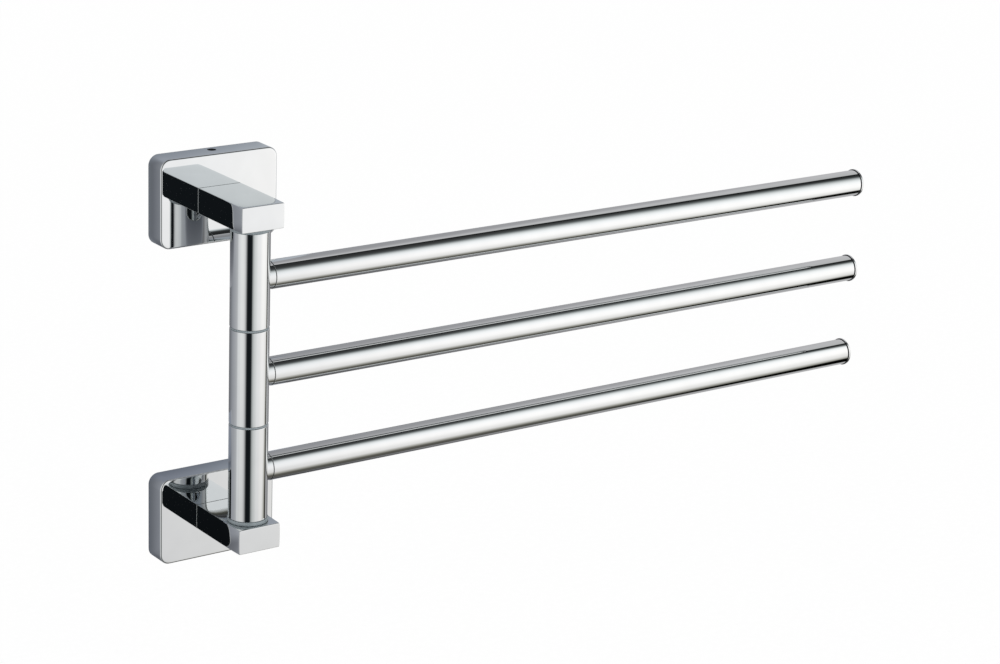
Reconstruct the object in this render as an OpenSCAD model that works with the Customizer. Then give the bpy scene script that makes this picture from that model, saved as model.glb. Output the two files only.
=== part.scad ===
// Swing arm towel bar: two wall rosettes with posts, an upright pivot barrel of three turning knuckles,
// and one round bar on each knuckle. X runs along the wall, Y into the wall, Z up. The wall is the plane
// y = 0, and the origin lies on it, midway between the two rosettes.

/* [Rosettes] */
// Width of each rosette, along the wall
rosette_w = 73; // [66:0.5:90]
// Height of each rosette
rosette_h = 50.5; // [44:0.5:70]
// Depth of each rosette, from the wall to its front face
rosette_t = 14; // [13:0.5:18]
// Radius of the rosette's four corners, seen from the front
rosette_corner_r = 6; // [5:0.5:12]
// Radius of the rosette's front edge
rosette_edge_r = 1; // [0.4:0.1:1.6]
// Thickness of the rosette's four side walls
side_wall = 3; // [2.4:0.1:3.6]
// Thickness of the rosette's front wall
face_wall = 3; // [2.6:0.1:4]

/* [Mounting plates] */
// Thickness of each mounting plate
plate_t = 8; // [7.6:0.1:8.4]
// Clearance between a mounting plate's edge and the inside of its rosette
plate_gap = 0.2; // [0.1:0.05:0.4]
// Distance between the two wall screw holes of each plate
screw_spacing = 42; // [34:0.5:46]
// Diameter of the wall screw holes
wall_hole_d = 5; // [4:0.5:6]
// Diameter of the recess for each wall screw's head
wall_head_d = 10; // [9:0.5:12]
// Depth of the recess for each wall screw's head
wall_head_depth = 3; // [2:0.5:4]
// Diameter of the hole in each plate that clears the post screw's head
head_clear_d = 14; // [13:0.5:16]

/* [Grub screws] */
// Thread diameter of the grub screws that clamp the rosettes to their plates
grub_d = 4; // [3:0.5:5]
// Distance of the grub screws from the wall
grub_from_wall = 5; // [4.2:0.1:5.4]
// Depth of a grub screw's outer end below the rosette's surface
grub_sink = 0.5; // [0.2:0.1:1]
// Depth of the seat for the grub screw's point in the plate's edge
grub_seat_depth = 1.3; // [1:0.1:1.6]
// Width of the hexagon socket in each grub screw, across its flats
grub_key = 2; // [1.5:0.1:2.2]
// Depth of that socket
grub_key_depth = 2; // [1.4:0.1:2.4]
// Bevel at the mouth of each grub screw's hole
grub_bevel = 0.5; // [0.2:0.1:0.8]

/* [Posts] */
// Width of each post
post_w = 26.6; // [26:0.2:34]
// Height of each post
post_h = 14.4; // [13:0.2:20]
// Radius of the post's edges
post_edge_r = 0.6; // [0.3:0.1:1.2]
// Distance from the pivot axis to the post's front face
post_nose = 13.3; // [13:0.1:18]
// Gap between a rosette's face and the barrel
barrel_standoff = 22.5; // [18:0.5:40]
// Width of the key that stops each post turning on its rosette
key_w = 16; // [13:0.5:18]
// Height of that key
key_h = 9; // [8.4:0.2:10]
// Depth of that key in the rosette's face
key_depth = 1.2; // [0.8:0.1:1.4]

/* [Post screws] */
// Thread diameter of the screw that holds each post to its rosette
post_screw_d = 6; // [5:0.5:6]
// Length of that screw's thread in the post
post_screw_grip = 12; // [8:0.5:14]
// Diameter of that screw's head
post_head_d = 10; // [9:0.5:12]
// Height of that screw's head
post_head_h = 3.2; // [2.6:0.1:3.6]
// Width of the hexagon socket in its head, across the flats
post_key = 4; // [3:0.1:4.5]
// Depth of that socket
post_key_depth = 2.2; // [1.6:0.1:2.4]

/* [Pivot] */
// Diameter of the pivot shaft
shaft_d = 10; // [8:0.5:11]
// Depth of the shaft's seat in each post
shaft_seat = 9; // [7:0.5:9]
// Bevel at the shaft's ends
shaft_bevel = 0.6; // [0.2:0.1:1]
// Thread diameter of the screw that holds the shaft in the lower post
pivot_screw_d = 5; // [4:0.5:5]
// Length of that screw's thread in the shaft
pivot_screw_grip = 12; // [8:0.5:18]
// Diameter of that screw's countersunk head
pivot_head_d = 9; // [8:0.5:10]
// Depth of that screw's head below the post's surface
pivot_head_sink = 0.3; // [0.1:0.1:0.6]
// Width of the hexagon socket in its head, across the flats
pivot_key = 3; // [2.5:0.1:3.2]

/* [Barrel] */
// Outer diameter of the barrel
barrel_d = 22; // [21:0.5:26]
// Height of each knuckle
knuckle_h = 54.6; // [40:0.2:90]
// Radius of each knuckle's outer edges
knuckle_edge_r = 0.5; // [0.2:0.1:1]
// Diameter of the bore in each knuckle
knuckle_bore_d = 14; // [13.5:0.1:14.5]
// Length of the bushes in each knuckle
bush_l = 12; // [8:0.5:15]
// Outer diameter of the thin rings between the knuckles
ring_d = 21.6; // [18:0.2:22]
// Thickness of those rings
ring_t = 1; // [0.6:0.1:2]
// Outer diameter of the washers between the barrel and the posts
washer_d = 23; // [20:0.2:26]
// Thickness of those washers
washer_t = 2.1; // [1:0.1:3]
// Edge radius of those washers
washer_edge_r = 0.5; // [0.2:0.1:0.5]

/* [Bars] */
// Distance from the pivot axis to the end of each bar's tube
bar_reach = 436; // [250:1:600]
// Outer diameter of each bar
bar_d = 16; // [14:0.5:18]
// Wall thickness of each bar
bar_wall = 1; // [0.8:0.1:1.4]
// Diameter of the collar at each bar's root
collar_d = 15.6; // [13:0.1:18]
// Length of that collar past the barrel's side
collar_l = 1.1; // [0.5:0.1:20]
// Diameter of the stub's thread in the knuckle
stub_thread_d = 8; // [6:0.5:10]
// Length of the stub inside the bar
stub_plug_l = 22; // [12:1:40]
// Diameter of the end cap's flange
cap_d = 17; // [16:0.2:20]
// Thickness of that flange at its rim
cap_rim_t = 1.4; // [0.8:0.1:3]
// Height of the shallow dome on the end cap
cap_dome = 0.6; // [0.2:0.1:1.5]
// Length of the end cap's plug inside the bar
cap_plug_l = 10; // [6:0.5:20]

/* [Fits] */
// Radial clearance between the bushes and the shaft that they turn on
running_fit = 0.05; // [0.02:0.01:0.09]
// Radial clearance of pieces that are fixed together
fixed_fit = 0.02; // [0.01:0.01:0.05]
// Radial clearance of screws in plain holes, and of rings on the shaft
loose_fit = 0.15; // [0.1:0.05:0.3]

/* [Hidden] */
$fn = 96;

chrome = [0.80, 0.82, 0.84];
steel = [0.55, 0.56, 0.58];
zinc = [0.66, 0.67, 0.68];
nylon = [0.44, 0.47, 0.50];
bush_white = [0.90, 0.89, 0.85];

// Overrun of each cut past the surface that it opens
over = 1;
hexagon = 6;
// Room left past a screw's end in its threaded hole
thread_spare = 2;
// How far a stub's thread stops short of the knuckle's bore
stub_recess = 0.5;
ring_edge_r = 0.2;

// Heights along the barrel, each measured from the middle
bar_pitch = knuckle_h + ring_t;
stack_half = bar_pitch + knuckle_h / 2;
post_inner_z = stack_half + washer_t;
bracket_z = post_inner_z + post_h / 2;

// Depths from the wall
axis_y = rosette_t + barrel_standoff + barrel_d / 2;
post_front_y = axis_y + post_nose;
cavity_depth = rosette_t - face_wall;

// Height of a mounting plate's edge above its middle
plate_edge_z = rosette_h / 2 - side_wall - plate_gap;

shaft_end_z = post_inner_z + shaft_seat;
bar_root = barrel_d / 2 + collar_l;
bush_d = knuckle_bore_d - 2 * fixed_fit;

// Stands a shape drawn upright, with its thickness towards the room
module on_wall(depth = 0) {
    translate([0, -depth, 0]) rotate([90, 0, 0]) children();
}

// Moves a shape drawn about the origin to the upper bracket, or mirrors it down to the lower one
module at_bracket(side) {
    mirror([0, 0, side > 0 ? 0 : 1]) translate([0, 0, bracket_z]) children();
}

// Lays a shape drawn upwards along +X at one bar's height on the pivot axis
module along_bar(level, from = 0) {
    translate([from, -axis_y, level * bar_pitch]) rotate([0, 90, 0]) children();
}

module on_axis(z = 0) {
    translate([0, -axis_y, z]) children();
}

module rounded_rect(w, h, r) {
    square([w - 2 * r, h], center = true);
    square([w, h - 2 * r], center = true);
    for (sx = [-1, 1], sy = [-1, 1])
        translate([sx * (w / 2 - r), sy * (h / 2 - r)]) circle(r);
}

// Slab with rounded corners and a rounded front edge, drawn with its front upwards
module soft_slab(w, h, t, r, e) {
    linear_extrude(t - e) rounded_rect(w, h, r);
    linear_extrude(t) rounded_rect(w - 2 * e, h - 2 * e, r - e);
    translate([0, 0, t - e]) {
        for (sy = [-1, 1])
            translate([0, sy * (h / 2 - e), 0]) rotate([0, 90, 0])
                cylinder(r = e, h = w - 2 * r, center = true);
        for (sx = [-1, 1])
            translate([sx * (w / 2 - e), 0, 0]) rotate([90, 0, 0])
                cylinder(r = e, h = h - 2 * r, center = true);
        for (sx = [-1, 1], sy = [-1, 1])
            translate([sx * (w / 2 - r), sy * (h / 2 - r), 0])
                rotate([0, 0, 90 * (sx > 0 ? (sy > 0 ? 0 : 3) : (sy > 0 ? 1 : 2))])
                    rotate_extrude(angle = 90) translate([r - e, 0]) circle(e);
    }
}

// Profile of a ring with rounded outer edges, drawn from the axis outwards and from z = 0 up
module ring_profile(r_in, r_out, h, e) {
    translate([r_in, 0]) square([r_out - e - r_in, h]);
    translate([r_in, e]) square([r_out - r_in, h - 2 * e]);
    for (z = [e, h - e])
        translate([r_out - e, z]) circle(e);
}

module soft_ring(r_in, r_out, h, e) {
    rotate_extrude() ring_profile(r_in, r_out, h, e);
}

module hex_socket(width, depth) {
    cylinder(r = width / 2 / cos(180 / hexagon), h = depth, $fn = hexagon);
}

module mounting_plate(side) {
    w = rosette_w - 2 * (side_wall + plate_gap);
    r = rosette_corner_r - side_wall - plate_gap;
    color(zinc) at_bracket(side) difference() {
        on_wall() linear_extrude(plate_t) rounded_rect(w, 2 * plate_edge_z, r);
        for (sx = [-1, 1]) translate([sx * screw_spacing / 2, 0, 0]) {
            on_wall(-over) cylinder(d = wall_hole_d, h = plate_t + 2 * over);
            on_wall(plate_t - wall_head_depth) cylinder(d = wall_head_d, h = wall_head_depth + over);
        }
        on_wall(-over) cylinder(d = head_clear_d, h = plate_t + 2 * over);
        translate([0, -grub_from_wall, plate_edge_z - grub_seat_depth])
            cylinder(r1 = grub_d / 4 + fixed_fit, r2 = grub_d / 2 + loose_fit, h = grub_seat_depth);
    }
}

module rosette(side) {
    color(chrome) at_bracket(side) difference() {
        on_wall() soft_slab(rosette_w, rosette_h, rosette_t, rosette_corner_r, rosette_edge_r);
        on_wall(-over) linear_extrude(cavity_depth + over)
            rounded_rect(rosette_w - 2 * side_wall, rosette_h - 2 * side_wall, rosette_corner_r - side_wall);
        on_wall(rosette_t - key_depth) linear_extrude(key_depth + over)
            square([key_w + 2 * fixed_fit, key_h + 2 * fixed_fit], center = true);
        on_wall() cylinder(d = post_screw_d + 2 * loose_fit, h = rosette_t);
        translate([0, -grub_from_wall, rosette_h / 2 - side_wall - over])
            cylinder(d = grub_d + 2 * fixed_fit, h = side_wall + 2 * over);
        translate([0, -grub_from_wall, rosette_h / 2 - grub_bevel])
            cylinder(r1 = grub_d / 2 + fixed_fit, r2 = grub_d / 2 + fixed_fit + grub_bevel, h = grub_bevel);
    }
}

module grub_screw(side) {
    outer_z = rosette_h / 2 - grub_sink;
    tip = grub_seat_depth - fixed_fit;
    color(steel) at_bracket(side) translate([0, -grub_from_wall, 0]) difference() {
        union() {
            translate([0, 0, plate_edge_z]) cylinder(d = grub_d, h = outer_z - plate_edge_z);
            translate([0, 0, plate_edge_z - tip]) cylinder(r1 = grub_d / 4, r2 = grub_d / 2, h = tip);
        }
        translate([0, 0, outer_z - grub_key_depth]) hex_socket(grub_key, grub_key_depth + over);
    }
}

// Straight prism with all its edges rounded, except where it meets the rosette
module post_prism() {
    length = post_front_y - rosette_t;
    buried = length + post_edge_r;
    middle_y = buried / 2 - post_front_y;
    intersection() {
        on_wall(rosette_t) linear_extrude(length) rounded_rect(post_w, post_h, post_edge_r);
        translate([0, middle_y, -post_h / 2])
            linear_extrude(post_h) rounded_rect(post_w, buried, post_edge_r);
        translate([-post_w / 2, middle_y, 0]) rotate([90, 0, 90])
            linear_extrude(post_w) rounded_rect(buried, post_h, post_edge_r);
    }
}

module pivot_screw_recess() {
    cone_h = (pivot_head_d - pivot_screw_d) / 2;
    seat_z = post_h / 2 - pivot_head_sink;
    cylinder(d = pivot_screw_d + 2 * loose_fit, h = post_h);
    translate([0, 0, seat_z - cone_h]) cylinder(d1 = pivot_screw_d, d2 = pivot_head_d, h = cone_h);
    translate([0, 0, seat_z]) cylinder(d = pivot_head_d, h = pivot_head_sink + over);
}

module post(side) {
    color(chrome) at_bracket(side) difference() {
        union() {
            post_prism();
            on_wall(rosette_t - key_depth + fixed_fit) linear_extrude(key_depth)
                square([key_w, key_h], center = true);
        }
        on_wall(rosette_t - key_depth - over)
            cylinder(d = post_screw_d + 2 * fixed_fit, h = over + key_depth + post_screw_grip + thread_spare);
        translate([0, -axis_y, -post_h / 2 - over]) cylinder(d = shaft_d + 2 * fixed_fit, h = shaft_seat + over);
        if (side < 0) translate([0, -axis_y, 0]) pivot_screw_recess();
    }
}

module post_screw(side) {
    color(steel) at_bracket(side) difference() {
        union() {
            on_wall(cavity_depth - post_head_h) cylinder(d = post_head_d, h = post_head_h);
            on_wall(cavity_depth) cylinder(d = post_screw_d, h = face_wall + post_screw_grip);
        }
        on_wall(cavity_depth - post_head_h - over) hex_socket(post_key, post_key_depth + over);
    }
}

module pivot_shaft() {
    half = shaft_end_z - fixed_fit;
    straight = half - shaft_bevel;
    color(steel) on_axis() difference() {
        union() {
            cylinder(d = shaft_d, h = 2 * straight, center = true);
            for (m = [0, 1]) mirror([0, 0, m]) translate([0, 0, straight])
                cylinder(r1 = shaft_d / 2, r2 = shaft_d / 2 - shaft_bevel, h = shaft_bevel);
        }
        translate([0, 0, -half - over])
            cylinder(d = pivot_screw_d + 2 * fixed_fit, h = pivot_screw_grip + thread_spare + over);
    }
}

module pivot_screw() {
    cone_h = (pivot_head_d - pivot_screw_d) / 2;
    head_z = post_h / 2 - pivot_head_sink;
    tip_z = shaft_seat - post_h / 2 - pivot_screw_grip;
    color(steel) at_bracket(-1) translate([0, -axis_y, 0]) difference() {
        union() {
            translate([0, 0, tip_z]) cylinder(d = pivot_screw_d, h = head_z - tip_z);
            translate([0, 0, head_z - cone_h])
                cylinder(d1 = pivot_screw_d, d2 = pivot_head_d - 2 * fixed_fit, h = cone_h);
        }
        translate([0, 0, head_z - cone_h]) hex_socket(pivot_key, cone_h + over);
    }
}

module washer(side) {
    color(nylon) on_axis(side > 0 ? stack_half : -post_inner_z)
        soft_ring(shaft_d / 2 + loose_fit, washer_d / 2, washer_t, washer_edge_r);
}

module ring(side) {
    color(nylon) on_axis(side * bar_pitch / 2 - ring_t / 2)
        soft_ring(shaft_d / 2 + loose_fit, ring_d / 2, ring_t, ring_edge_r);
}

module knuckle(level) {
    color(chrome) difference() {
        on_axis(level * bar_pitch - knuckle_h / 2)
            soft_ring(knuckle_bore_d / 2, barrel_d / 2, knuckle_h, knuckle_edge_r);
        along_bar(level) cylinder(d = stub_thread_d + 2 * fixed_fit, h = barrel_d);
    }
}

module bushes(level) {
    color(bush_white)
        for (m = [0, 1]) on_axis(level * bar_pitch) mirror([0, 0, m])
            translate([0, 0, knuckle_h / 2 - bush_l]) difference() {
                cylinder(d = bush_d, h = bush_l);
                translate([0, 0, -over]) cylinder(d = shaft_d + 2 * running_fit, h = bush_l + 2 * over);
            }
}

module stub(level) {
    thread_from = knuckle_bore_d / 2 + stub_recess;
    color(chrome) {
        along_bar(level, thread_from) cylinder(d = stub_thread_d, h = bar_root - thread_from);
        difference() {
            along_bar(level) cylinder(d = collar_d, h = bar_root);
            on_axis(level * bar_pitch)
                cylinder(d = barrel_d + 2 * fixed_fit, h = collar_d + 2 * over, center = true);
        }
        along_bar(level, bar_root) cylinder(d = bar_d - 2 * (bar_wall + fixed_fit), h = stub_plug_l);
    }
}

module bar(level) {
    color(chrome) along_bar(level, bar_root) difference() {
        cylinder(d = bar_d, h = bar_reach - bar_root);
        translate([0, 0, -over]) cylinder(d = bar_d - 2 * bar_wall, h = bar_reach - bar_root + 2 * over);
    }
}

// Domed flange with a plug that fits inside the bar
module end_cap(level) {
    dome_r = (pow(cap_d / 2, 2) + pow(cap_dome, 2)) / (2 * cap_dome);
    crown = cap_rim_t + cap_dome;
    color(chrome) along_bar(level, bar_reach) {
        rotate_extrude() intersection() {
            translate([0, crown - dome_r]) circle(dome_r, $fn = 360);
            square([cap_d / 2, crown]);
        }
        translate([0, 0, -cap_plug_l]) cylinder(d = bar_d - 2 * (bar_wall + fixed_fit), h = cap_plug_l);
    }
}

mounting_plate(1);  // upper_mounting_plate
mounting_plate(-1);  // lower_mounting_plate
rosette(1);  // upper_rosette
rosette(-1);  // lower_rosette
grub_screw(1);  // upper_grub_screw
grub_screw(-1);  // lower_grub_screw
post(1);  // upper_post
post(-1);  // lower_post
post_screw(1);  // upper_post_screw
post_screw(-1);  // lower_post_screw
pivot_shaft();
pivot_screw();
washer(1);  // upper_washer
washer(-1);  // lower_washer
ring(1);  // upper_ring
ring(-1);  // lower_ring
knuckle(1);  // upper_knuckle
knuckle(0);  // middle_knuckle
knuckle(-1);  // lower_knuckle
bushes(1);  // upper_bushes
bushes(0);  // middle_bushes
bushes(-1);  // lower_bushes
stub(1);  // upper_stub
stub(0);  // middle_stub
stub(-1);  // lower_stub
bar(1);  // upper_bar
bar(0);  // middle_bar
bar(-1);  // lower_bar
end_cap(1);  // upper_end_cap
end_cap(0);  // middle_end_cap
end_cap(-1);  // lower_end_cap
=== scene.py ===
"""Looks of the swing arm towel bar: chromed metal with satin plastic washers, in a plain pale studio."""

import math

import bmesh
import bpy
from mathutils import Matrix, Vector


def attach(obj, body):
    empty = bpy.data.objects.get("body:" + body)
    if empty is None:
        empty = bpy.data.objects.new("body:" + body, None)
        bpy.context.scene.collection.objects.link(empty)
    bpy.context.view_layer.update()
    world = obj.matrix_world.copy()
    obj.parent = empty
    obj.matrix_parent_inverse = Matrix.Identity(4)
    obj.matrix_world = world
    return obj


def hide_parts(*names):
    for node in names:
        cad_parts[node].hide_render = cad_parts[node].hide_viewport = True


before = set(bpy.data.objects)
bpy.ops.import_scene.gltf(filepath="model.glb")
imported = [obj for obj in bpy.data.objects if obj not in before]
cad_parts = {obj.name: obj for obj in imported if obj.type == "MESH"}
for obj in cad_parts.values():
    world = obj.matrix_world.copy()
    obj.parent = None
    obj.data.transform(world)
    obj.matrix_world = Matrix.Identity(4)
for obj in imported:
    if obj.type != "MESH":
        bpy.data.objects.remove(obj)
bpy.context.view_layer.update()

MM = 0.001

# Sizes in millimetres, as in the part's source
ROSETTE_W, ROSETTE_H, ROSETTE_T = 73.0, 50.5, 14.0
ROSETTE_CORNER_R, ROSETTE_EDGE_R = 6.0, 1.0
SIDE_WALL, FACE_WALL = 3.0, 3.0
GRUB_D, GRUB_FROM_WALL, GRUB_BEVEL = 4.0, 5.0, 0.5
POST_W, POST_H, POST_NOSE = 26.6, 14.4, 13.3
KEY_W, KEY_H, KEY_DEPTH = 16.0, 9.0, 1.2
POST_SCREW_D, POST_SCREW_GRIP, THREAD_SPARE = 6.0, 12.0, 2.0
SHAFT_D, SHAFT_SEAT = 10.0, 9.0
PIVOT_SCREW_D, PIVOT_HEAD_D, PIVOT_HEAD_SINK = 5.0, 9.0, 0.3
BARREL_D, BARREL_STANDOFF, KNUCKLE_BORE_D = 22.0, 22.5, 14.0
KNUCKLE_H, KNUCKLE_EDGE_R = 54.6, 0.5
RING_D, RING_T, RING_EDGE_R = 21.6, 1.0, 0.2
WASHER_D, WASHER_T, WASHER_EDGE_R = 23.0, 2.1, 0.5
BAR_REACH, BAR_D, BAR_WALL = 436.0, 16.0, 1.0
COLLAR_D, COLLAR_L = 15.6, 1.1
STUB_THREAD_D, STUB_PLUG_L, STUB_RECESS = 8.0, 22.0, 0.5
CAP_D, CAP_RIM_T, CAP_DOME, CAP_PLUG_L = 17.0, 1.4, 0.6, 10.0
FIXED_FIT, LOOSE_FIT = 0.02, 0.15
OVER = 1.0

BAR_PITCH = KNUCKLE_H + RING_T
STACK_HALF = BAR_PITCH + KNUCKLE_H / 2
BRACKET_Z = STACK_HALF + WASHER_T + POST_H / 2
AXIS_Y = ROSETTE_T + BARREL_STANDOFF + BARREL_D / 2
POST_FRONT_Y = AXIS_Y + POST_NOSE
BAR_ROOT = BARREL_D / 2 + COLLAR_L

# Finer shapes that only the scene has, in millimetres
SLIP = 0.015
FACE_MARGIN = 1.0
POST_SOFT, BASE_SOFT, LEAST_SOFT = 0.3, 0.2, 0.02
GAP_W, GAP_DEPTH, SEAM_MARGIN = 0.2, 0.9, 0.01
KEY_ROOT, COLLAR_ROOT, HOLE_MARGIN = 0.5, 4.0, 0.5
BAR_SOFT, STUB_SOFT, CAP_BACK_SOFT, CAP_FRONT_SOFT = 0.2, 0.25, 0.2, 0.35
ROOT_GAP, END_GAP = 0.18, 0.45
# Shares of the end gap before and beyond the place where the part's own bars end
BAR_END_SHARE, CAP_LIP_SHARE = 0.7, 0.3
# How far polishing has drawn a post's faces in: (depth, fade) by the distance from an edge
FRONT_CROWN = {"side": (0.24, 5.0), "flat": (0.07, 3.5)}
LONG_EDGE_CROWN = {"upper": (0.15, 1.6), "lower": (0.25, 2.2)}
FLAT_EDGE_CROWN = (0.12, 1.5)
FRONT_FACE_CROWN = (0.04, 2.5)
TOP_EDGE_CROWN = (0.14, 0.35)
# Points this near a side are drawn in with it
CROWN_SKIN = 1.5
# The crowns of the edges that run back fade behind the front, down to this share
CROWN_LEFT, CROWN_FADE_FROM, CROWN_FADE = 0.35, 2.0, 14.0
# Where a post's front and sides are divided, from its edges inwards and from its front back
FRONT_INSETS = (6.6, 5.5, 4.4, 3.4, 2.6, 1.9, 1.3, 0.8, 0.5)
SIDE_STEPS = (0.6, 1, 1.5, 2, 2.6, 3.3, 4, 5, 6, 7.5, 9, 11, 13, 15, 18, 21, 25, 30, 36, 42)

# Points nearer than this, in metres, become one
MERGE_WITHIN = 0.0005 * MM
# Steps round full circles, and in arcs and straight sides
ROUND, TOOL_ROUND, STUB_ROUND, CAP_ROUND = 192, 96, 128, 160
ARC_STEPS, SOFT_STEPS, BASE_STEPS, DOME_STEPS = 8, 4, 5, 12
OUTLINE_STEPS, CAVITY_STEPS, POST_CORNER_STEPS = 24, 16, 6
POST_W_STEPS, POST_H_STEPS = 28, 20
# A cap's front edge stops short of flat, in degrees, where the dome goes on
CAP_EDGE_END, CAP_EDGE_STEPS = 10, 5
SHARP_ANGLE = math.radians(32)
# A face looks along an axis where this much of its normal does
ALONG_AXIS = 0.9


def nodes_of(tree):
    """Short names for making and joining a tree's nodes."""

    def add(kind, **values):
        node = tree.nodes.new(kind)
        for name, value in values.items():
            setattr(node, name, value)
        return node

    return add, tree.links.new


def linear(tone):
    """Scene-linear value of an 8-bit display tone."""
    c = tone / 255
    return c / 12.92 if c <= 0.04045 else ((c + 0.055) / 1.055) ** 2.4


def fill_ramp(ramp, stops):
    """Sets a colour ramp's stops from (position, grey or colour) pairs."""
    while len(ramp.elements) > 1:
        ramp.elements.remove(ramp.elements[-1])
    for i, (position, value) in enumerate(stops):
        element = ramp.elements[0] if i == 0 else ramp.elements.new(position)
        element.position = position
        colour = (value,) * 3 if isinstance(value, (int, float)) else value
        element.color = (*colour, 1)


def placed(name, data):
    """An object of that name in the scene, holding a mesh or a camera."""
    thing = bpy.data.objects.new(name, data)
    bpy.context.scene.collection.objects.link(thing)
    return thing


def sheet(name, points):
    """A single flat face in the scene, with its points in metres."""
    mesh = bpy.data.meshes.new(name)
    mesh.from_pydata(points, [], [tuple(range(len(points)))])
    return placed(name, mesh)


# Camera, at the photograph's viewing angle
LENS, SENSOR_W = 104.576, 36
CLIP_START, CLIP_END = 0.01, 100
CAMERA_AT = Vector((-0.77087, -1.35132, 0.51106))
CAMERA_YAW, CAMERA_PITCH, CAMERA_ROLL = (math.radians(d) for d in (35.767, 17.686, 2.177))


def make_camera():
    cos_e = math.cos(CAMERA_PITCH)
    forward = Vector(
        (math.sin(CAMERA_YAW) * cos_e, math.cos(CAMERA_YAW) * cos_e, -math.sin(CAMERA_PITCH))
    )
    level = Vector((math.cos(CAMERA_YAW), -math.sin(CAMERA_YAW), 0))
    upright = level.cross(forward)
    c, s = math.cos(CAMERA_ROLL), math.sin(CAMERA_ROLL)
    right = c * level + s * upright
    up = c * upright - s * level
    data = bpy.data.cameras.new("camera")
    data.lens = LENS
    data.sensor_width = SENSOR_W
    data.clip_start, data.clip_end = CLIP_START, CLIP_END
    camera = placed("camera", data)
    matrix = Matrix((right, up, -forward)).transposed().to_4x4()
    matrix.translation = CAMERA_AT
    camera.matrix_world = matrix
    bpy.context.scene.camera = camera


# Studio, as metal sees it: a light tent round the object, with its tones by angle, in degrees.
# Azimuths are from the camera, positive to its right.
FULL_TURN, UP_AND_DOWN = (-180, 180), (-90, 90)
STUDIO_PEAK = 1.43
TENT_AT = (0.02, -0.065, 0.04)
TENT_RADII = (0.59, 0.545, 0.44)
TENT_SEGMENTS, TENT_RINGS = 96, 48
CHROME_TINT = (0.70, 0.72, 0.725)
AZIMUTH_TONES = [
    (-180, (141, 143, 147)),
    (-165, (128, 131, 136)),
    (-150, (131, 134, 139)),
    (-130, (118, 121, 127)),
    (-110, (136, 140, 146)),
    (-85, (157, 160, 165)),
    (-71, (170, 173, 176)),
    (-64, (203, 206, 208)),
    (-45, (222, 224, 224)),
    (-32, (218, 220, 220)),
    (-24, (197, 198, 199)),
    (-18.5, (150, 152, 153)),
    (-12, (30, 33, 35)),
    (-5, (19, 22, 25)),
    (8, (21, 25, 28)),
    (14, (40, 44, 46)),
    (19, (152, 157, 157)),
    (29, (199, 203, 203)),
    (40, (215, 218, 219)),
    (50, (230, 232, 233)),
    (60, (234, 235, 237)),
    (66, (238, 239, 240)),
    (71, (244, 244, 244)),
    (76, (249, 249, 249)),
    (85, (253, 253, 253)),
    (118, (255, 255, 254)),
    (127, (176, 178, 178)),
    (140, (182, 183, 185)),
    (152, (161, 162, 165)),
    (163, (150, 151, 154)),
    (180, (141, 143, 147)),
]
# Share of that light by the angle up from the front, round the line that the bars lie on
ROUND_BAR = [
    (-180, (0.1, 0.1, 0.09)),
    (-85, (0.1, 0.099, 0.087)),
    (-78, (0.075, 0.074, 0.065)),
    (-72, (0.15, 0.148, 0.13)),
    (-62, (0.37, 0.37, 0.34)),
    (-50, (0.66, 0.66, 0.648)),
    (-46, (0.75, 0.75, 0.742)),
    (-38, (0.79, 0.79, 0.783)),
    (-28, (0.87, 0.87, 0.86)),
    (-20, (0.925, 0.925, 0.915)),
    (-12, (0.98, 0.98, 0.975)),
    (3, (1.0, 1.0, 1.0)),
    (20, (0.92, 0.945, 0.955)),
    (31, (0.79, 0.82, 0.83)),
    (40, (0.61, 0.645, 0.65)),
    (48, (0.385, 0.415, 0.42)),
    (55, (0.19, 0.208, 0.212)),
    (62, (0.076, 0.084, 0.086)),
    (72, (0.039, 0.042, 0.043)),
    (80, (0.029, 0.031, 0.032)),
    (88, (0.024, 0.026, 0.027)),
    (180, (0.024, 0.026, 0.027)),
]
# Share of that light by elevation, in front and on the wall's side
FRONT_ELEVATION = [
    (-90, 0.3),
    (-60, 0.4),
    (-33, 0.8),
    (-22, 0.94),
    (-12, 1.0),
    (12, 1.0),
    (30, 0.85),
    (45, 0.5),
    (58, 0.15),
    (68, 0.06),
    (90, 0.05),
]
WALL_ELEVATION = [(-90, 0.25), (-60, 0.36), (-44, 0.68), (-30, 0.94), (-18, 1.0), (90, 1.0)]
# Azimuths over which the share in front passes from the one by elevation to the one round the bars
BAR_SIDE = (10, 60)
# The dark slot where the room meets the wall, by azimuth and by where it shows in height
SIDE_SLOT = [(-180, 1.0), (118, 1.0), (119.5, 0.02), (127.5, 0.02), (129, 1.0), (180, 1.0)]
SLOT_HEIGHT = [(-90, 0.0), (-42, 0.0), (-32, 1.0), (-2, 1.0), (10, 0.3), (90, 0.3)]
# How much further up the light reaches towards the bars' free ends, and how much further down.
# SLANT_FROM and LIFT_SPAN are shares of the way to the side, as the tent's unit direction gives them.
LIGHT_SLANT, SLANT_FROM = 0.65, 0.7
LOW_LIFT, LIFT_SPAN = 9.0, (0.55, 1.0)
LIFT_SHAPE = [(-180, 0.0), (-88, 0.35), (-50, 1.0), (-16, 1.0), (0, 0.0), (180, 0.0)]
# The wall's own shade behind the barrel, by azimuth, and the elevations over which it ends
BACK_SHADE = [
    (-180, 0.5),
    (-160, 0.5),
    (-140, 0.72),
    (-120, 0.9),
    (-105, 1.0),
    (125, 1.0),
    (140, 0.8),
    (160, 0.55),
    (180, 0.5),
]
BACK_SHADE_END = (-12, -4)
# Depth, in metres, at which the tent passes from the room's light to the wall's
WALL_FROM, WALL_BLEND = -0.046, 0.012
# Strips of wall round the rosettes, in millimetres: from and to this far from a side, and this far behind
STRIP_FROM, STRIP_TO, STRIP_BEHIND = 0.3, 30.0, 0.5
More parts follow.
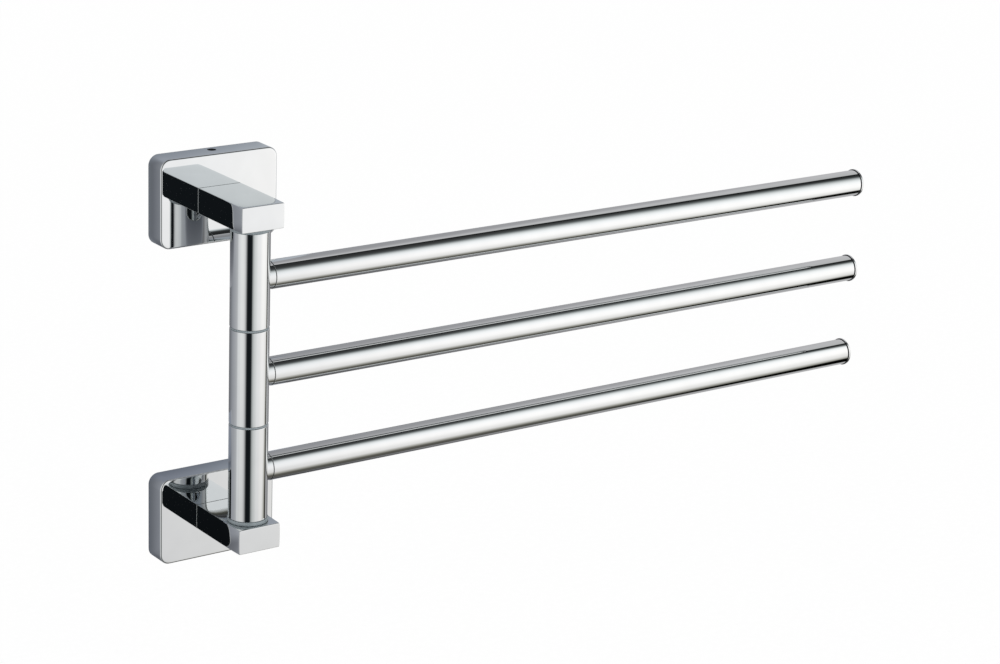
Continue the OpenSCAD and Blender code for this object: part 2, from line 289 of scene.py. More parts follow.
# Tones of a strip by the distance from a rosette's side: 1 is the upper rosette, -1 the lower
WALL_SHADE_LEFT = {
    1: [(0, (80, 84, 89)), (4, (103, 107, 114)), (9, (126, 130, 136)), (30, (150, 154, 160))],
    -1: [(0, (84, 88, 94)), (4, (108, 112, 119)), (9, (130, 134, 141)), (30, (150, 154, 160))],
}
WALL_SHADE_TOP = {
    1: [(0, (124, 131, 140)), (5, (141, 147, 156)), (30, (154, 160, 169))],
    -1: [(0, (98, 104, 115)), (5, (117, 123, 134)), (30, (128, 134, 144))],
}
WALL_SHADE_RIGHT = {
    1: [(0, (142, 149, 157)), (5, (158, 165, 172)), (30, (166, 172, 179))],
    -1: [(0, (118, 125, 134)), (5, (136, 143, 152)), (30, (146, 152, 161))],
}
WALL_SHADE_UNDER = [(0, (78, 82, 89)), (10, (96, 99, 105)), (18, (108, 111, 117)), (30, (136, 139, 145))]
# Where one shade passes to the next, in metres from the middle of a rosette: across, across and up
LEFT_TO_TOP, TOP_TO_RIGHT, UNDER_TO_SIDES = (-0.04, -0.033), (-0.03, 0.05), (-0.03, -0.02)


def maths_of(tree):
    """A short name for a calculation on values or other nodes' outputs."""
    add, join = nodes_of(tree)

    def maths(operation, *values):
        node = add("ShaderNodeMath", operation=operation)
        for socket, value in zip(node.inputs, values):
            if isinstance(value, (int, float)):
                socket.default_value = value
            else:
                join(value, socket)
        return node.outputs[0]

    return maths


def ramp_over(tree, value, span, stops):
    """A colour ramp whose stops stand in the value's own unit, within a span of it."""
    low, high = span
    add, join = nodes_of(tree)
    place = add("ShaderNodeMapRange")
    place.inputs["From Min"].default_value = low
    place.inputs["From Max"].default_value = high
    join(value, place.inputs["Value"])
    ramp = add("ShaderNodeValToRGB")
    fill_ramp(ramp.color_ramp, [((at - low) / (high - low), tone) for at, tone in stops])
    join(place.outputs[0], ramp.inputs[0])
    return ramp.outputs[0]


def eased(tree, value, span):
    """A smooth step from 0 to 1 over a span of the value."""
    low, high = span
    add, join = nodes_of(tree)
    step = add("ShaderNodeMapRange", interpolation_type="SMOOTHSTEP")
    step.inputs["From Min"].default_value = low
    step.inputs["From Max"].default_value = high
    join(value, step.inputs["Value"])
    return step.outputs[0]


def mixed(tree, factor, first, second, blend="MIX"):
    """Two colours mixed by a factor. Each may be a value or another node's output."""
    add, join = nodes_of(tree)
    node = add("ShaderNodeMix", data_type="RGBA", blend_type=blend)
    for socket, value in ((node.inputs[0], factor), (node.inputs[6], first), (node.inputs[7], second)):
        if isinstance(value, (int, float, tuple)):
            socket.default_value = value
        else:
            join(value, socket)
    return node.outputs[2]


def multiplied(tree, first, second):
    return mixed(tree, 1.0, first, second, "MULTIPLY")


def seen_in_chrome(stops):
    """Stops of light, as a share of the studio's peak, that a chromed face shows as these 8-bit tones."""
    return [
        (at, tuple(linear(t) / base / STUDIO_PEAK for t, base in zip(tones, CHROME_TINT)))
        for at, tones in stops
    ]


def tent_light(tree):
    """Nodes for the tent's light at each point of its inside."""
    add, join = nodes_of(tree)
    maths = maths_of(tree)
    place = add("ShaderNodeTexCoord")
    depth = add("ShaderNodeSeparateXYZ")
    join(place.outputs["Object"], depth.inputs[0])
    direction = add("ShaderNodeVectorMath", operation="NORMALIZE")
    join(place.outputs["Object"], direction.inputs[0])
    plain = add("ShaderNodeSeparateXYZ")
    join(direction.outputs[0], plain.inputs[0])
    x, y, z = (plain.outputs[k] for k in range(3))
    turn = add("ShaderNodeVectorRotate", rotation_type="Z_AXIS")
    turn.inputs["Angle"].default_value = CAMERA_YAW
    join(direction.outputs[0], turn.inputs["Vector"])
    turned = add("ShaderNodeSeparateXYZ")
    join(turn.outputs[0], turned.inputs[0])
    degree = 180 / math.pi
    ahead = maths("MULTIPLY", turned.outputs["Y"], -1)
    azimuth = maths("MULTIPLY", maths("ARCTAN2", turned.outputs["X"], ahead), degree)
    elevation = maths("MULTIPLY", maths("ARCSINE", z), degree)
    round_bar = maths("MULTIPLY", maths("ARCTAN2", z, maths("MULTIPLY", y, -1)), degree)
    slant = maths("MULTIPLY_ADD", x, -LIGHT_SLANT, 1 + LIGHT_SLANT * SLANT_FROM)
    raised = maths("MULTIPLY", maths("MAXIMUM", round_bar, 0), slant)
    lift = maths("MULTIPLY", eased(tree, x, LIFT_SPAN), LOW_LIFT)
    lift = maths("MULTIPLY", ramp_over(tree, round_bar, FULL_TURN, LIFT_SHAPE), lift)
    lowered = maths("ADD", maths("MINIMUM", round_bar, 0), lift)
    round_bar = maths("ADD", raised, lowered)

    sideways = ramp_over(tree, azimuth, FULL_TURN, seen_in_chrome(AZIMUTH_TONES))
    by_bar = ramp_over(tree, round_bar, FULL_TURN, ROUND_BAR)
    by_height = ramp_over(tree, elevation, UP_AND_DOWN, FRONT_ELEVATION)
    front = mixed(tree, eased(tree, azimuth, BAR_SIDE), by_height, by_bar)
    wall = ramp_over(tree, elevation, UP_AND_DOWN, WALL_ELEVATION)
    behind = ramp_over(tree, azimuth, FULL_TURN, BACK_SHADE)
    behind = mixed(tree, eased(tree, elevation, BACK_SHADE_END), behind, (1, 1, 1, 1))
    wall = multiplied(tree, wall, behind)
    wall_from = WALL_FROM - TENT_AT[1]
    on_wall = eased(tree, depth.outputs["Y"], (wall_from, wall_from + WALL_BLEND))
    share = mixed(tree, on_wall, front, wall)
    slotted = multiplied(tree, share, ramp_over(tree, azimuth, FULL_TURN, SIDE_SLOT))
    share = mixed(tree, ramp_over(tree, elevation, UP_AND_DOWN, SLOT_HEIGHT), share, slotted)
    return multiplied(tree, sideways, share)


def reflected_only(thing):
    """Leaves a piece of the studio to the metal's reflections alone."""
    thing.visible_camera = False
    thing.visible_diffuse = False
    thing.visible_transmission = False
    thing.visible_volume_scatter = False
    thing.visible_shadow = False


def glowing(name):
    """A material that only gives light, up to the studio's peak, with its tree and its colour socket."""
    material = bpy.data.materials.new(name)
    material.use_nodes = True
    tree = material.node_tree
    tree.nodes.clear()
    add, join = nodes_of(tree)
    light = add("ShaderNodeEmission")
    light.inputs["Strength"].default_value = STUDIO_PEAK
    out = add("ShaderNodeOutputMaterial")
    join(light.outputs[0], out.inputs["Surface"])
    material.cycles.emission_sampling = "NONE"
    return material, tree, light.inputs["Color"]


def make_tent():
    shape = bmesh.new()
    bmesh.ops.create_uvsphere(shape, u_segments=TENT_SEGMENTS, v_segments=TENT_RINGS, radius=1)
    for vert in shape.verts:
        vert.co = Vector(c * r for c, r in zip(vert.co, TENT_RADII))
    mesh = bpy.data.meshes.new("light_tent")
    shape.to_mesh(mesh)
    shape.free()
    tent = placed("light_tent", mesh)
    tent.location = TENT_AT
    material, tree, colour = glowing("tent_light")
    tree.links.new(tent_light(tree), colour)
    mesh.materials.append(material)
    reflected_only(tent)


def strip_light(tree, side):
    """Nodes for a strip's light, by the distance from the rosette and the side that it lies on."""
    add, join = nodes_of(tree)
    maths = maths_of(tree)
    place = add("ShaderNodeTexCoord")
    apart = add("ShaderNodeSeparateXYZ")
    join(place.outputs["Object"], apart.inputs[0])
    across, up = apart.outputs["X"], apart.outputs["Z"]
    squares = []
    for socket, half in ((across, ROSETTE_W / 2), (up, ROSETTE_H / 2)):
        inside = maths("SUBTRACT", maths("ABSOLUTE", socket), (half - ROSETTE_CORNER_R) * MM)
        beyond = maths("MAXIMUM", inside, 0)
        squares.append(maths("MULTIPLY", beyond, beyond))
    reach = maths("SQRT", maths("ADD", *squares))
    gap = maths("MULTIPLY_ADD", reach, 1 / MM, -ROSETTE_CORNER_R)
    shades = (WALL_SHADE_LEFT[side], WALL_SHADE_TOP[side], WALL_SHADE_RIGHT[side], WALL_SHADE_UNDER)
    left, top, right, under = (
        ramp_over(tree, gap, (0, STRIP_TO), seen_in_chrome(shade)) for shade in shades
    )
    past_left = mixed(tree, eased(tree, across, TOP_TO_RIGHT), top, right)
    sides = mixed(tree, eased(tree, across, LEFT_TO_TOP), left, past_left)
    return mixed(tree, eased(tree, up, UNDER_TO_SIDES), under, sides)


def make_wall_shade(side):
    """The strip of wall round a rosette, in its shade, as the rosette's sides show it."""
    edges = []
    for away in (STRIP_FROM, STRIP_TO):
        edges += rounded_outline(
            ROSETTE_W + 2 * away, ROSETTE_H + 2 * away, ROSETTE_CORNER_R + away, OUTLINE_STEPS
        )
    points = [(u * MM, STRIP_BEHIND * MM, v * MM) for u, v in edges]
    n = len(points) // 2
    faces = [(k, (k + 1) % n, n + (k + 1) % n, n + k) for k in range(n)]
    mesh = bpy.data.meshes.new("wall_shade")
    mesh.from_pydata(points, [], faces)
    strip = placed(f"wall_shade_{'upper' if side > 0 else 'lower'}", mesh)
    strip.location = (0, 0, side * BRACKET_Z * MM)
    material, tree, colour = glowing("wall_shade")
    tree.links.new(strip_light(tree, side), colour)
    mesh.materials.append(material)
    reflected_only(strip)


def make_wall():
    """The wall's shade on plastic: it stops the plain light from behind, and shows from neither side."""
    half_w, half_h, behind = 0.7, 0.5, 0.0008
    corners = [(-half_w, -half_h), (half_w, -half_h), (half_w, half_h), (-half_w, half_h)]
    wall = sheet("wall", [(x, behind, z) for x, z in corners])
    material, tree, shader = principled("wall_paint", tint=(0.3, 0.3, 0.3), metallic=0, roughness=0.9)
    grain = noise_of(tree, scale=60, detail=3)
    vary(tree, grain, shader.inputs["Base Color"], low=(0.28,) * 3, high=(0.32,) * 3)
    add, join = nodes_of(tree)
    facing = add("ShaderNodeNewGeometry")
    clear = add("ShaderNodeBsdfTransparent")
    either = add("ShaderNodeMixShader")
    join(facing.outputs["Backfacing"], either.inputs[0])
    join(shader.outputs[0], either.inputs[1])
    join(clear.outputs[0], either.inputs[2])
    join(either.outputs[0], tree.nodes["Material Output"].inputs["Surface"])
    wall.data.materials.append(material)
    wall.visible_camera = False
    wall.visible_glossy = False
    wall.visible_transmission = False


def make_world():
    world = bpy.data.worlds.new("studio")
    bpy.context.scene.world = world
    world.use_nodes = True
    tree = world.node_tree
    tree.nodes.clear()
    add, join = nodes_of(tree)
    white = add("ShaderNodeBackground")
    white.inputs["Color"].default_value = (1, 1, 1, 1)
    white.inputs["Strength"].default_value = 1
    out = add("ShaderNodeOutputWorld")
    join(white.outputs[0], out.inputs["Surface"])


# Materials
NOISE_MIDDLE = (0.3, 0.7)


def principled(name, tint, metallic, roughness):
    """A plain material of that tint, with its tree and its shader."""
    material = bpy.data.materials.new(name)
    material.use_nodes = True
    tree = material.node_tree
    shader = tree.nodes["Principled BSDF"]
    shader.inputs["Base Color"].default_value = (*tint, 1)
    shader.inputs["Metallic"].default_value = metallic
    shader.inputs["Roughness"].default_value = roughness
    return material, tree, shader


def noise_of(tree, scale, detail=2.0):
    add, join = nodes_of(tree)
    place = add("ShaderNodeTexCoord")
    noise = add("ShaderNodeTexNoise")
    noise.inputs["Scale"].default_value = scale
    noise.inputs["Detail"].default_value = detail
    join(place.outputs["Object"], noise.inputs["Vector"])
    return noise.outputs["Fac"]


def vary(tree, factor, socket, low, high):
    """Spreads a noise's middle range over a socket's values or colours."""
    add, join = nodes_of(tree)
    ramp = add("ShaderNodeValToRGB")
    fill_ramp(ramp.color_ramp, list(zip(NOISE_MIDDLE, (low, high))))
    join(factor, ramp.inputs[0])
    join(ramp.outputs[0], socket)


def bump_of(tree, shader, factor, height):
    """Raises a noise to a height in metres."""
    add, join = nodes_of(tree)
    bump = add("ShaderNodeBump")
    bump.inputs["Strength"].default_value = 1
    bump.inputs["Distance"].default_value = height
    join(factor, bump.inputs["Height"])
    join(bump.outputs[0], shader.inputs["Normal"])


def make_chrome():
    material, tree, shader = principled("chrome_plate", tint=CHROME_TINT, metallic=1, roughness=0.03)
    film = noise_of(tree, scale=90)
    low, high = (tuple(c * share for c in CHROME_TINT) for share in (0.985, 1.015))
    vary(tree, film, shader.inputs["Base Color"], low, high)
    haze = noise_of(tree, scale=260, detail=4)
    vary(tree, haze, shader.inputs["Roughness"], low=0.01, high=0.03)
    buffing = noise_of(tree, scale=120, detail=1)
    bump_of(tree, shader, buffing, height=0.000004)
    return material


def make_nylon():
    tint, low, high = (0.27, 0.31, 0.33), (0.25, 0.295, 0.315), (0.3, 0.345, 0.365)
    material, tree, shader = principled("grey_nylon", tint, metallic=0, roughness=0.38)
    shade = noise_of(tree, scale=400, detail=3)
    vary(tree, shade, shader.inputs["Base Color"], low, high)
    grain = noise_of(tree, scale=1800, detail=3)
    vary(tree, grain, shader.inputs["Roughness"], low=0.3, high=0.45)
    bump_of(tree, shader, grain, height=0.00001)
    return material


def make_painted_gap_shade():
    """Painted shade for joints and holes, where no light comes: a near-black, dull material."""
    tint, low, high = (0.012, 0.014, 0.016), (0.008, 0.01, 0.012), (0.02, 0.022, 0.024)
    material, tree, shader = principled("shadow_gap", tint, metallic=0, roughness=0.7)
    gap_shade_mottle = noise_of(tree, scale=700, detail=3)
    vary(tree, gap_shade_mottle, shader.inputs["Base Color"], low, high)
    vary(tree, gap_shade_mottle, shader.inputs["Roughness"], low=0.6, high=0.8)
    bump_of(tree, shader, gap_shade_mottle, height=0.00002)
    shader.inputs["Specular IOR Level"].default_value = 0.1
    return material


def make_zinc():
    tint, low, high = (0.5, 0.51, 0.53), (0.42, 0.43, 0.45), (0.58, 0.59, 0.6)
    material, tree, shader = principled("cast_zinc", tint, metallic=1, roughness=0.45)
    cast = noise_of(tree, scale=300, detail=5)
    vary(tree, cast, shader.inputs["Base Color"], low, high)
    vary(tree, cast, shader.inputs["Roughness"], low=0.38, high=0.55)
    bump_of(tree, shader, cast, height=0.00006)
    return material


def make_steel():
    tint, low, high = (0.5, 0.51, 0.52), (0.44, 0.45, 0.46), (0.56, 0.57, 0.58)
    material, tree, shader = principled("screw_steel", tint, metallic=1, roughness=0.28)
    turned = noise_of(tree, scale=900, detail=3)
    vary(tree, turned, shader.inputs["Base Color"], low, high)
    vary(tree, turned, shader.inputs["Roughness"], low=0.2, high=0.34)
    bump_of(tree, shader, turned, height=0.00001)
    return material


def make_black_steel():
    tint, low, high = (0.03, 0.031, 0.034), (0.02, 0.021, 0.024), (0.04, 0.041, 0.045)
    material, tree, shader = principled("black_steel", tint, metallic=0, roughness=0.45)
    shader.inputs["Specular IOR Level"].default_value = 0.2
    oxide = noise_of(tree, scale=1200, detail=3)
    vary(tree, oxide, shader.inputs["Base Color"], low, high)
    vary(tree, oxide, shader.inputs["Roughness"], low=0.38, high=0.52)
    bump_of(tree, shader, oxide, height=0.00001)
    return material


def make_bush():
    tint, low, high = (0.85, 0.84, 0.8), (0.8, 0.79, 0.75), (0.87, 0.86, 0.82)
    material, tree, shader = principled("white_bush", tint, metallic=0, roughness=0.42)
    grain = noise_of(tree, scale=900, detail=3)
    vary(tree, grain, shader.inputs["Base Color"], low, high)
    vary(tree, grain, shader.inputs["Roughness"], low=0.36, high=0.48)
    bump_of(tree, shader, grain, height=0.00001)
    return material


# Mesh making, in millimetres
def arc(u, v, r, start, end, steps=ARC_STEPS):
    """Points of an arc round (u, v), from one angle to another in degrees."""
    angles = [math.radians(start + (end - start) * i / steps) for i in range(steps + 1)]
    return [(u + r * math.cos(a), v + r * math.sin(a)) for a in angles]


def soft_edge(along, r, soft, start, end, steps=SOFT_STEPS):
    """(radius, along) points of a rounded edge of a turned piece, from one angle to another."""
    return [(out, on) for on, out in arc(along, r - soft, soft, start, end, steps)]


def new_mesh(name, points, faces):
    mesh = bpy.data.meshes.new(name)
    mesh.from_pydata([Vector(p) * MM for p in points], [], faces)
    shape = bmesh.new()
    shape.from_mesh(mesh)
    bmesh.ops.remove_doubles(shape, verts=shape.verts, dist=MERGE_WITHIN)
    bmesh.ops.recalc_face_normals(shape, faces=shape.faces)
    shape.to_mesh(mesh)
    shape.free()
    return placed(name, mesh)


def off_axis(axis, at, r, angle, along):
    """The point at a radius and an angle round an axis, some way along it."""
    c, s = r * math.cos(angle), r * math.sin(angle)
    offset = {"X": (along, c, s), "Y": (c, along, s), "Z": (c, s, along)}[axis]
    return tuple(p + o for p, o in zip(at, offset))


def turned_shape(name, profile, axis, at):
    """A closed profile of (radius, along) points, turned round an axis through a point."""
    count = len(profile)
    angles = [math.tau * i / ROUND for i in range(ROUND)]
    points = [off_axis(axis, at, r, a, along) for a in angles for r, along in profile]
    faces = []
    for i in range(ROUND):
        j = (i + 1) % ROUND
        for k in range(count):
            m = (k + 1) % count
            faces.append((i * count + k, i * count + m, j * count + m, j * count + k))
    shape = new_mesh(name, points, faces)
    tidy = bmesh.new()
    tidy.from_mesh(shape.data)
    bmesh.ops.dissolve_degenerate(tidy, dist=MERGE_WITHIN, edges=tidy.edges)
    tidy.to_mesh(shape.data)
    tidy.free()
    return shape


def ring_profile(r_in, r_out, h, e):
    """A ring's section with rounded outer edges, from z = 0 up."""
    lower = arc(r_out - e, e, e, -90, 0)
    upper = arc(r_out - e, h - e, e, 0, 90)
    return [(r_in, 0), *lower, *upper, (r_in, h)]


def rounded_outline(w, h, r, steps):
    points = []
    for sx, sy, start in ((1, 1, 0), (-1, 1, 90), (-1, -1, 180), (1, -1, 270)):
        points += arc(sx * (w / 2 - r), sy * (h / 2 - r), r, start, start + 90, steps)
    return points


def stacked(name, layers):
    """A closed shape from outlines of equal count, each a list of points, one on the next."""
    count = len(layers[0])
    points = [p for layer in layers for p in layer]
    faces = [tuple(range(count)), tuple(range(len(points) - count, len(points)))]
    for i in range(len(layers) - 1):
        for k in range(count):
            m = (k + 1) % count
            a, b = i * count, (i + 1) * count
            faces.append((a + k, a + m, b + m, b + k))
    return new_mesh(name, points, faces)


def stacked_round(name, axis, at, rings, around=TOOL_ROUND):
    """A closed round shape from (radius, along) rings, with flat ends."""
    angles = [math.tau * i / around for i in range(around)]
    return stacked(name, [[off_axis(axis, at, r, a, along) for a in angles] for r, along in rings])


def rod(axis, at, d, length, d_end=None, around=TOOL_ROUND):
    """A round cutting tool from a point along an axis, or a cone where its end has another size."""
    r, r_end = d / 2, (d if d_end is None else d_end) / 2
    return stacked_round("tool", axis, at, [(r, 0), (r_end, length)], around)


def block(at, size):
    """A plain cutting tool, centred on a point."""
    layers = [
        [(at[0] + sx * size[0] / 2, at[1] + sy * size[1] / 2, at[2] + z * size[2] / 2)
         for sx, sy in ((-1, -1), (1, -1), (1, 1), (-1, 1))]
        for z in (-1, 1)
    ]
    return stacked("tool", layers)


def cut(piece, tool, operation="DIFFERENCE"):
    """Cuts or joins a tool shape, and keeps the result as the piece's own mesh."""
    change = piece.modifiers.new("cut", "BOOLEAN")
    change.operation = operation
    change.solver = "EXACT"
    change.object = tool
    bpy.context.view_layer.update()
    graph = bpy.context.evaluated_depsgraph_get()
    result = bpy.data.meshes.new_from_object(piece.evaluated_get(graph))
    piece.modifiers.clear()
    old = piece.data
    piece.data = result
    bpy.data.meshes.remove(old)
    bpy.data.objects.remove(tool)


def dress(piece, body, material, node, in_shadow=None):
    """Gives a finished piece its shading, finish and body, and hides the CAD node that it stands for.

    Faces for which in_shadow(centre, normal) is true get painted shade, the near-black material of a gap
    between two pieces.
    """
    mesh = piece.data
    mesh.polygons.foreach_set("use_smooth", [True] * len(mesh.polygons))
    mesh.set_sharp_from_angle(angle=SHARP_ANGLE)
    weighted = piece.modifiers.new("weighted_normals", "WEIGHTED_NORMAL")
    weighted.keep_sharp = True
    mesh.materials.clear()
    mesh.materials.append(material)
    # Painted shade on the faces in gaps and holes, as a second material
    if in_shadow:
        mesh.materials.append(painted_gap_shade)
        for face in mesh.polygons:
            face.material_index = int(in_shadow(face.center, face.normal))
    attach(piece, body)
    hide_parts(node)


def make_rosette(side, word):
    z = side * BRACKET_Z

    def outline(forward, inset):
        shape = rounded_outline(
            ROSETTE_W - 2 * inset, ROSETTE_H - 2 * inset, ROSETTE_CORNER_R - inset, OUTLINE_STEPS
        )
        return [(x, -forward, z + v) for x, v in shape]

    e = ROSETTE_EDGE_R
    layers = [outline(0, 0)]
    layers += [outline(forward, inset) for forward, inset in arc(ROSETTE_T - e, e, e, -90, 0)]
    layers.append(outline(ROSETTE_T, e + FACE_MARGIN))
    piece = stacked(f"rosette_{word}", layers)

    cavity = rounded_outline(
        ROSETTE_W - 2 * SIDE_WALL, ROSETTE_H - 2 * SIDE_WALL, ROSETTE_CORNER_R - SIDE_WALL, CAVITY_STEPS
    )
    depth = ROSETTE_T - FACE_WALL
    cut(piece, stacked("tool", [[(x, y, z + v) for x, v in cavity] for y in (OVER, -depth)]))
    key_size = (KEY_W + 2 * FIXED_FIT, 2 * KEY_DEPTH, KEY_H + 2 * FIXED_FIT)
    cut(piece, block((0, -ROSETTE_T, z), key_size))
    cut(piece, rod("Y", (0, -ROSETTE_T - OVER, z), POST_SCREW_D + 2 * LOOSE_FIT, ROSETTE_T))

    top = z + side * ROSETTE_H / 2
    hole_d = GRUB_D + 2 * FIXED_FIT
    inner = top - side * (SIDE_WALL + OVER)
    cut(piece, rod("Z", (0, -GRUB_FROM_WALL, inner), hole_d, side * (SIDE_WALL + 2 * OVER)))
    wide = hole_d + 2 * GRUB_BEVEL
    bevel_from = (0, -GRUB_FROM_WALL, top - side * GRUB_BEVEL)
    cut(piece, rod("Z", bevel_from, hole_d, side * 2 * GRUB_BEVEL, 2 * wide - hole_d))

    # Faces of the grub screw hole's wall, which get painted shade
    def in_hole(centre, normal):
        from_axis = math.hypot(centre.x, centre.y + GRUB_FROM_WALL * MM)
        in_wall = abs(centre.z - z * MM) > (ROSETTE_H / 2 - SIDE_WALL - HOLE_MARGIN) * MM
        upright = abs(normal.z) < ALONG_AXIS
        return in_wall and upright and from_axis < (hole_d / 2 + GRUB_BEVEL) * MM

    return piece, in_hole


def eased_off(crown, distance):
    """How far a crowned face is drawn in at a distance from its edge."""
    depth, fade = crown
    return depth * math.exp(-distance / fade)


def rectangle_points(w, h, r, inset):
    """Points round a rounded rectangle, with its straight sides divided too."""
    half_w, half_h, r = w / 2 - inset, h / 2 - inset, max(r - inset, LEAST_SOFT)
    corners = [(half_w - r, half_h - r, 0), (r - half_w, half_h - r, 90)]
    corners += [(r - half_w, r - half_h, 180), (half_w - r, r - half_h, 270)]
    points = []
    for i, (u, v, start) in enumerate(corners):
        points += arc(u, v, r, start, start + 90, POST_CORNER_STEPS)
        here = points[-1]
        next_u, next_v, next_start = corners[(i + 1) % len(corners)]
        there = arc(next_u, next_v, r, next_start, next_start, 1)[0]
        steps = POST_W_STEPS if i % 2 == 0 else POST_H_STEPS
        for k in range(1, steps):
            t = k / steps
            points.append(tuple(a + (b - a) * t for a, b in zip(here, there)))
    return points


def crowned(word, u, v, behind):
    """Draws a point of a post's skin in, by its distance from the edges."""
    fading = math.exp(-max(behind - CROWN_FADE_FROM, 0) / CROWN_FADE)
    near_front = CROWN_LEFT + (1 - CROWN_LEFT) * fading
    from_end = max(POST_W / 2 - abs(u), 0)
    outer = POST_H / 2 - abs(v)
    du = eased_off(FRONT_CROWN["side"], behind) + near_front * eased_off(LONG_EDGE_CROWN[word], outer)
    dv = eased_off(FRONT_CROWN["flat"], behind) + near_front * eased_off(FLAT_EDGE_CROWN, from_end)
    if v > 0:
        dv += eased_off(TOP_EDGE_CROWN, behind)
    share_u = max(0.0, min(1.0, 1 - from_end / CROWN_SKIN))
    share_v = max(0.0, min(1.0, 1 - outer / CROWN_SKIN))
    return u - math.copysign(du * share_u, u), v - math.copysign(dv * share_v, v)


def make_post(side, word):
    z = side * BRACKET_Z
    length = POST_FRONT_Y - ROSETTE_T
    base = length - GAP_W
    r = POST_SOFT

    def layer(behind, inset, hollow=0.0):
        outline = rectangle_points(POST_W, POST_H, r, inset)
        skin = [crowned(word, u, v, behind) for u, v in outline]
        return [(u, -POST_FRONT_Y + behind + hollow, z + v) for u, v in skin]

    layers = [layer(0, inset, eased_off(FRONT_FACE_CROWN, inset)) for inset in FRONT_INSETS]
    edge = eased_off(FRONT_FACE_CROWN, 0)
    for across, along in arc(0, r, r, -90, 0):
        layers.append(layer(along, r - across, edge * (1 - along / r)))
    layers += [layer(behind, 0) for behind in SIDE_STEPS]
    for across, along in arc(0, base - BASE_SOFT, BASE_SOFT, 0, 90, BASE_STEPS):
        layers.append(layer(along, BASE_SOFT - across))
    layers += [layer(behind, GAP_DEPTH) for behind in (base, length)]
    piece = stacked(f"post_{word}", layers)

    key = KEY_DEPTH - FIXED_FIT
    key_at = (0, -ROSETTE_T + key / 2 - KEY_ROOT / 2, z)
    cut(piece, block(key_at, (KEY_W, key + KEY_ROOT, KEY_H)), "UNION")
    hole_from = (0, -ROSETTE_T + KEY_DEPTH + OVER, z)
    hole_depth = POST_SCREW_GRIP + THREAD_SPARE + KEY_DEPTH + OVER
    cut(piece, rod("Y", hole_from, POST_SCREW_D + 2 * FIXED_FIT, -hole_depth))
    inner = z - side * (POST_H / 2 + OVER)
    cut(piece, rod("Z", (0, -AXIS_Y, inner), SHAFT_D + 2 * FIXED_FIT, side * (SHAFT_SEAT + OVER)))
    if side < 0:
        cone_h = (PIVOT_HEAD_D - PIVOT_SCREW_D) / 2
        under = z - POST_H / 2
        seat = under + PIVOT_HEAD_SINK
        clear_d = PIVOT_SCREW_D + 2 * LOOSE_FIT
        cut(piece, rod("Z", (0, -AXIS_Y, under + OVER), clear_d, POST_H - SHAFT_SEAT))
        cut(piece, rod("Z", (0, -AXIS_Y, seat + cone_h), PIVOT_SCREW_D, -cone_h, PIVOT_HEAD_D))
        cut(piece, rod("Z", (0, -AXIS_Y, seat), PIVOT_HEAD_D, -OVER))

    # Faces of the groove at the post's base, which get painted shade
    def in_gap(centre, normal):
        behind = centre.y / MM + POST_FRONT_Y
        within = abs(centre.x) < (POST_W / 2 - POST_SOFT) * MM
        return base - SEAM_MARGIN < behind < length + SEAM_MARGIN and within

    return piece, in_gap


def make_nylon_ring(name, d, t, edge_r, z):
    """A washer or ring round the shaft, with slip to what turns on both sides."""
    profile = ring_profile(SHAFT_D / 2 + LOOSE_FIT, d / 2, t - 2 * SLIP, edge_r)
    return turned_shape(name, profile, "Z", (0, -AXIS_Y, z + SLIP))


def make_knuckle(name, middle_z):
    profile = ring_profile(KNUCKLE_BORE_D / 2, BARREL_D / 2, KNUCKLE_H, KNUCKLE_EDGE_R)
    return turned_shape(f"knuckle_{name}", profile, "Z", (0, -AXIS_Y, middle_z - KNUCKLE_H / 2))


def make_stub(name, middle_z):
    plug_r = BAR_D / 2 - BAR_WALL - FIXED_FIT
    collar_from = BARREL_D / 2 - COLLAR_ROOT
    rings = [
        (STUB_THREAD_D / 2, KNUCKLE_BORE_D / 2 + STUB_RECESS),
        (STUB_THREAD_D / 2, collar_from),
        (COLLAR_D / 2, collar_from),
        (COLLAR_D / 2, BAR_ROOT - STUB_SOFT),
        *soft_edge(BAR_ROOT - STUB_SOFT, COLLAR_D / 2, STUB_SOFT, 90, 0)[1:],
        (plug_r, BAR_ROOT),
        (plug_r, BAR_ROOT + STUB_PLUG_L),
    ]
    piece = stacked_round(f"stub_{name}", "X", (0, -AXIS_Y, middle_z), rings, STUB_ROUND)
    low = (0, -AXIS_Y, middle_z - COLLAR_D / 2 - OVER)
    cut(piece, rod("Z", low, BARREL_D + 2 * FIXED_FIT, COLLAR_D + 2 * OVER, around=ROUND))
    # The collar's end and the plug beyond it get painted shade
    return piece, lambda centre, normal: centre.x > (BAR_ROOT - SEAM_MARGIN) * MM


def make_bar(name, middle_z):
    start = BAR_ROOT + ROOT_GAP
    length = BAR_REACH - BAR_END_SHARE * END_GAP - start
    r = BAR_D / 2
    near = soft_edge(BAR_SOFT, r, BAR_SOFT, 180, 90)
    far = soft_edge(length - BAR_SOFT, r, BAR_SOFT, 90, 0)
    profile = [(r - BAR_WALL, 0), *near, *far, (r - BAR_WALL, length)]
    piece = turned_shape(f"bar_{name}", profile, "X", (start, -AXIS_Y, middle_z))
    # The bar's end faces get painted shade
    return piece, lambda centre, normal: abs(normal.x) > ALONG_AXIS


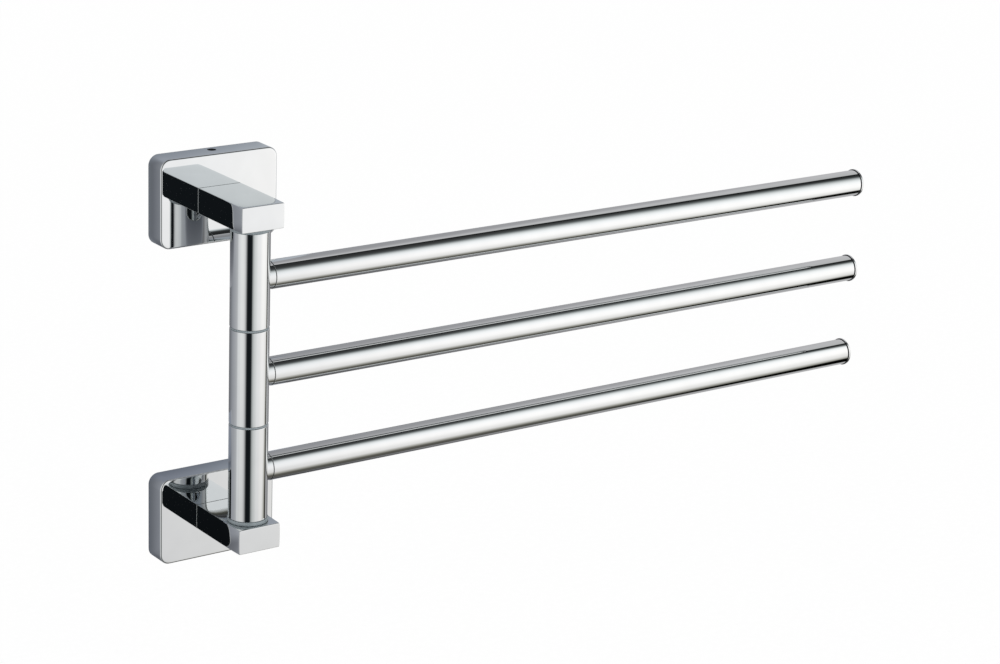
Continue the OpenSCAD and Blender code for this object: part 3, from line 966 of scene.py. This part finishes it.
def make_end_cap(name, middle_z):
    plug_r = BAR_D / 2 - BAR_WALL - FIXED_FIT
    r, back, front = CAP_D / 2, CAP_BACK_SOFT, CAP_FRONT_SOFT
    dome_r = (r * r + CAP_DOME * CAP_DOME) / (2 * CAP_DOME)
    lip = CAP_LIP_SHARE * END_GAP
    rings = [(plug_r, -CAP_PLUG_L), (plug_r, lip)]
    rings += soft_edge(lip + back, r, back, 180, 90)
    rings += soft_edge(CAP_RIM_T - front, r, front, 90, CAP_EDGE_END, CAP_EDGE_STEPS)
    for i in range(1, DOME_STEPS):
        d = (r - front) * (1 - i / DOME_STEPS)
        rings.append((d, CAP_RIM_T + CAP_DOME - dome_r + math.sqrt(dome_r * dome_r - d * d)))
    piece = stacked_round(f"end_cap_{name}", "X", (BAR_REACH, -AXIS_Y, middle_z), rings, CAP_ROUND)
    # The cap's plug and lip get painted shade
    return piece, lambda centre, normal: centre.x < (BAR_REACH + lip + SEAM_MARGIN) * MM


def make_floor():
    half, height = 20.0, -2.0
    corners = [(-half, -half), (half, -half), (half, half), (-half, half)]
    floor = sheet("floor", [(x, y, height) for x, y in corners])
    material, tree, shader = principled("pale_floor", tint=(0.97, 0.97, 0.97), metallic=0, roughness=0.9)
    shader.inputs["Specular IOR Level"].default_value = 0
    grain = noise_of(tree, scale=60, detail=3)
    vary(tree, grain, shader.inputs["Base Color"], low=(0.99,) * 3, high=(1.0,) * 3)
    floor.data.materials.append(material)
    floor.visible_glossy = False


make_camera()
make_world()
make_tent()
make_wall_shade(1)
make_wall_shade(-1)
make_wall()
make_floor()
chrome, nylon, painted_gap_shade = make_chrome(), make_nylon(), make_painted_gap_shade()
zinc, steel, bush = make_zinc(), make_steel(), make_bush()

for side, word in ((1, "upper"), (-1, "lower")):
    rosette, in_hole = make_rosette(side, word)
    dress(rosette, "root", chrome, f"{word}_rosette", in_hole)
    post, in_gap = make_post(side, word)
    dress(post, "root", chrome, f"{word}_post", in_gap)
    washer_z = STACK_HALF if side > 0 else -STACK_HALF - WASHER_T
    washer = make_nylon_ring(f"washer_{word}", WASHER_D, WASHER_T, WASHER_EDGE_R, washer_z)
    dress(washer, "root", nylon, f"{word}_washer")
    ring_z = side * BAR_PITCH / 2 - RING_T / 2
    ring = make_nylon_ring(f"ring_{word}", RING_D, RING_T, RING_EDGE_R, ring_z)
    dress(ring, "root", nylon, f"{word}_ring")

for word, level in (("upper", 1), ("middle", 0), ("lower", -1)):
    arm, middle_z = f"{word}_arm", level * BAR_PITCH
    dress(make_knuckle(word, middle_z), arm, chrome, f"{word}_knuckle")
    for make, part in ((make_stub, "stub"), (make_bar, "bar"), (make_end_cap, "end_cap")):
        piece, in_shadow = make(word, middle_z)
        dress(piece, arm, chrome, f"{word}_{part}", in_shadow)

CAD_FINISH = {
    "mounting_plate": zinc,
    "grub_screw": make_black_steel(),
    "post_screw": steel,
    "pivot_shaft": steel,
    "pivot_screw": steel,
    "bushes": bush,
}
for name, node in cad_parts.items():
    for ending, material in CAD_FINISH.items():
        if name.endswith(ending):
            node.data.materials.clear()
            node.data.materials.append(material)

scene = bpy.context.scene
scene.view_settings.view_transform = "Standard"
